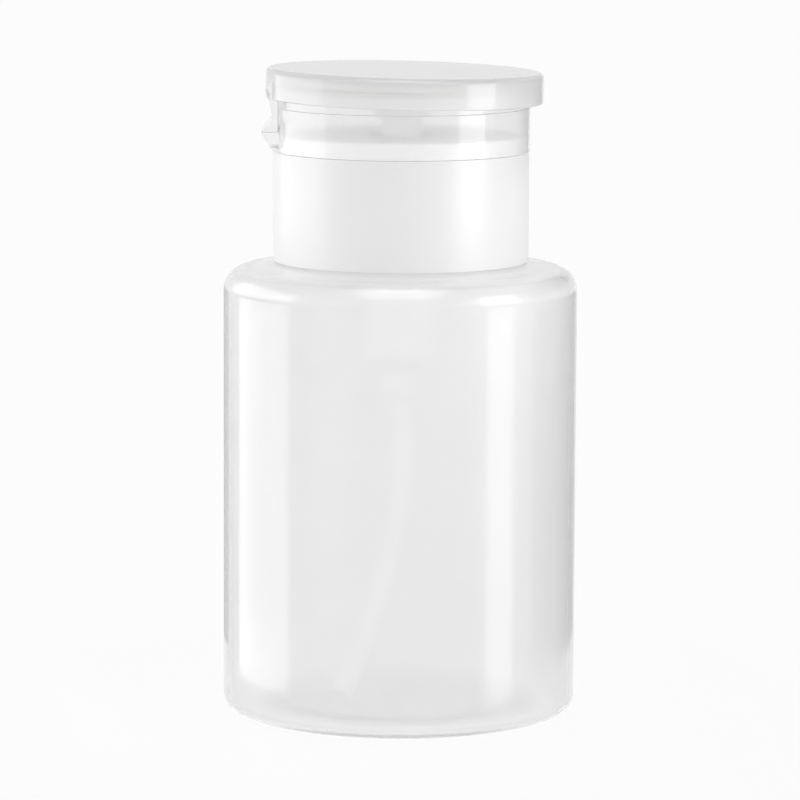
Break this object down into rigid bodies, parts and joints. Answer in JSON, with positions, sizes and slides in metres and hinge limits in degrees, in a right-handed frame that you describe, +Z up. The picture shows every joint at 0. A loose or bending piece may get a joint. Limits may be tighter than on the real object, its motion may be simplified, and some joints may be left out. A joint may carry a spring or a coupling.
{
  "type": "nail polish remover pump dispenser",
  "caption": "Round frosted bottle with a screw collar, a clear ring, a push-down dish pump and a hinged flip lid.",
  "frame": {"origin": "centre of the base, on the surface that it stands on", "axes": "+Z up along the bottle's axis, -Y to the front, -X to the side where the lid hinges"},
  "size_m": [0.058, 0.058, 0.106],
  "materials": {
    "frosted_body": "blow-moulded translucent polypropylene, satin",
    "white_moulding": "moulded white polypropylene, fine satin",
    "clear_moulding": "moulded clear polypropylene, polished",
    "natural_moulding": "moulded natural polypropylene, semi-gloss",
    "soft_seal": "moulded nitrile rubber, matt",
    "foam": "closed-cell polyethylene foam",
    "soft_plastic": "extruded or moulded low-density polyethylene",
    "steel": "bright stainless steel"
  },
  "bodies": {
    "bottle_body": {"bottle": "frosted_body"},
    "pump_core": {"pump_housing": "natural_moulding", "housing_cap": "white_moulding", "stem_seal": "soft_seal", "neck_gasket": "soft_seal", "ball_cage": "natural_moulding", "dip_tube": "soft_plastic", "return_spring": "steel"},
    "collar_unit": {"collar": "white_moulding", "guard_ring": "clear_moulding"},
    "lid_unit": {"lid": "natural_moulding", "lid_liner": "foam"},
    "plunger": {"stem": "white_moulding", "piston": "soft_plastic", "piston_retainer": "white_moulding", "press_dish": "white_moulding", "spreader": "white_moulding"},
    "inlet_valve": {"inlet_ball": "steel"},
    "outlet_valve": {"outlet_ball": "steel"}
  },
  "joints": [
    {"name": "head_lift", "type": "slide", "parent": "bottle_body", "child": "pump_core", "axis": [0, 0, 1], "range_m": [0, 0.00423]},
    {"name": "collar_turn", "type": "hinge", "parent": "pump_core", "child": "collar_unit", "pos_m": [0, 0, 0.0924], "axis": [0, 0, 1], "range_deg": [0, 360]},
    {"name": "lid_hinge", "type": "hinge", "parent": "collar_unit", "child": "lid_unit", "pos_m": [-0.0227, 0, 0.0959], "axis": [0, -1, 0], "range_deg": [0, 165]},
    {"name": "press", "type": "slide", "parent": "pump_core", "child": "plunger", "axis": [0, 0, -1], "range_m": [0, 0.0042], "stiffness_N_per_m": 900, "springref_m": -0.004, "deforming": ["return_spring"]},
    {"name": "inlet_lift", "type": "slide", "parent": "pump_core", "child": "inlet_valve", "axis": [0, 0, 1], "range_m": [0, 0.001]},
    {"name": "outlet_lift", "type": "slide", "parent": "plunger", "child": "outlet_valve", "axis": [0, 0, 1], "range_m": [0, 0.0008]}
  ],
  "couplings": [
    {"joint": "collar_turn", "follows": "head_lift", "rad_per_m": 1484.3}
  ]
}
